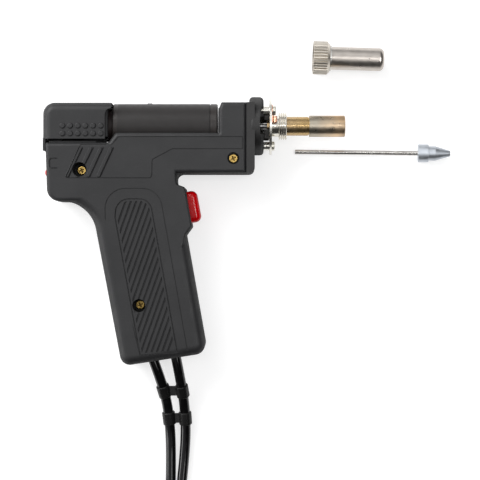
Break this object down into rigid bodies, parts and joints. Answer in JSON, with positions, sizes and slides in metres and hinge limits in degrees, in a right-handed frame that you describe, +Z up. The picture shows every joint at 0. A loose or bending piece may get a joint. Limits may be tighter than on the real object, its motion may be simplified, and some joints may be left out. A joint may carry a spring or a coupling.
{
  "type": "desoldering gun",
  "caption": "Pistol-grip desoldering gun on its side, with filter canister, heater barrel, red trigger, loose nozzle and heater enclosure, and two coiled cords.",
  "frame": {"origin": "centre of the bounding box of everything but the cords, on the bench the gun lies on", "axes": "+X towards the nozzle end, +Y towards the top of the gun, +Z up from the bench through the gun's width"},
  "size_m": [0.2582, 0.3589, 0.0366],
  "materials": {
    "housing": "fine satin moulded plastic, soft sheen on the edges",
    "nose": "satin moulded plastic",
    "inner_plastic": "plain moulded plastic",
    "trigger": "glossy red plastic",
    "led": "clear red, glossy",
    "board": "coated circuit board",
    "connector": "plain black plastic",
    "seal": "soft dark silicone rubber",
    "gland": "soft black rubber",
    "clip": "satin black plastic",
    "cord": "glossy black silicone jacket",
    "hose": "glossy black silicone hose",
    "wire": "insulated wire",
    "canister": "smoky tube, smooth",
    "canister_cap": "smooth dark rubber",
    "cotton": "pressed fibre",
    "brass": "turned brass, lightly heat tinted",
    "brass_screw": "plated screw, slightly worn",
    "copper": "copper-coloured lug",
    "steel": "drawn tube",
    "bright_steel": "bright pressed plate",
    "screw_steel": "plated screw",
    "spring": "spring wire",
    "nickel": "nickel-plated brass",
    "nickel_brass": "worn nickel plate with brass showing through",
    "satin_nickel": "satin nickel, knurled",
    "satin_nickel_pipe": "satin nickel, drawn",
    "nozzle_metal": "matt grey plated",
    "nozzle_steel": "bright drawn tube",
    "plug_metal": "plated metal",
    "ceramic": "fired ceramic"
  },
  "bodies": {
    "gun": {"shell_top": "housing", "shell_bottom": "housing", "housing_screws": "brass_screw", "nose_flange": "nose", "front_seal": "seal", "suction_pipe": "steel", "heater_flange": "bright_steel", "heater_standoffs": "bright_steel", "flange_screws": "screw_steel", "earth_lug": "copper", "thread_collar": "nickel", "heater_barrel": "brass", "heater_sleeve": "nickel_brass", "heater_core": "ceramic", "heater_leads": "connector", "switch_body": "connector", "vacuum_elbow": "inner_plastic", "led_lens": "led", "led_board": "board", "inner_hose": "hose", "inner_wires": "wire", "power_gland": "gland", "hose_gland": "gland", "power_cord": "cord", "power_cord_coil": "cord", "plug_body": "plug_metal", "plug_ring": "plug_metal", "plug_pins": "brass", "vacuum_hose": "hose", "vacuum_hose_coil": "hose", "hose_fitting": "connector", "cord_clip_upper": "clip", "cord_clip_lower": "clip"},
    "trigger": {"trigger_button": "trigger", "trigger_spring": "spring"},
    "switch_plunger": {"switch_plunger": "connector"},
    "rear_slide": {"rear_cover": "housing", "rear_carriage": "inner_plastic", "rear_seal": "seal", "release_spring": "spring"},
    "filter": {"filter_tube": "canister", "filter_front_cap": "canister_cap", "filter_rear_cap": "canister_cap", "filter_element": "cotton", "solder_baffle": "steel"},
    "enclosure": {"enclosure_pipe": "satin_nickel_pipe", "retaining_ring": "spring"},
    "enclosure_nut": {"knurled_nut": "satin_nickel"},
    "nozzle": {"nozzle_tip": "nozzle_metal", "nozzle_tube": "nozzle_steel"}
  },
  "joints": [
    {"name": "trigger_press", "type": "slide", "parent": "gun", "child": "trigger", "axis": [-0.9836, -0.1801, 0], "range_m": [0, 0.003], "stiffness_N_per_m": 900, "springref_m": -0.0008, "deforming": ["trigger_spring"]},
    {"name": "plunger_press", "type": "slide", "parent": "gun", "child": "switch_plunger", "axis": [-0.9836, -0.1801, 0], "range_m": [0, 0.003]},
    {"name": "rear_release", "type": "slide", "parent": "gun", "child": "rear_slide", "axis": [-1, 0, 0], "range_m": [0, 0.009], "stiffness_N_per_m": 700, "springref_m": -0.004, "deforming": ["release_spring"]},
    {"name": "filter_lift", "type": "slide", "parent": "gun", "child": "filter", "axis": [0, 1, 0], "range_m": [0, 0.03]},
    {"name": "enclosure_lift", "type": "slide", "parent": "gun", "child": "enclosure", "axis": [0, 0, 1], "range_m": [0, 0.05]},
    {"name": "nut_spin", "type": "hinge", "parent": "enclosure", "child": "enclosure_nut", "pos_m": [0.0453, 0.08905, 0.0101], "axis": [0.9996, -0.0297, 0], "continuous": true},
    {"name": "nozzle_lift", "type": "slide", "parent": "gun", "child": "nozzle", "axis": [0, 0, 1], "range_m": [0, 0.05]}
  ],
  "couplings": [
    {"joint": "plunger_press", "follows": "trigger_press", "ratio": 1}
  ]
}
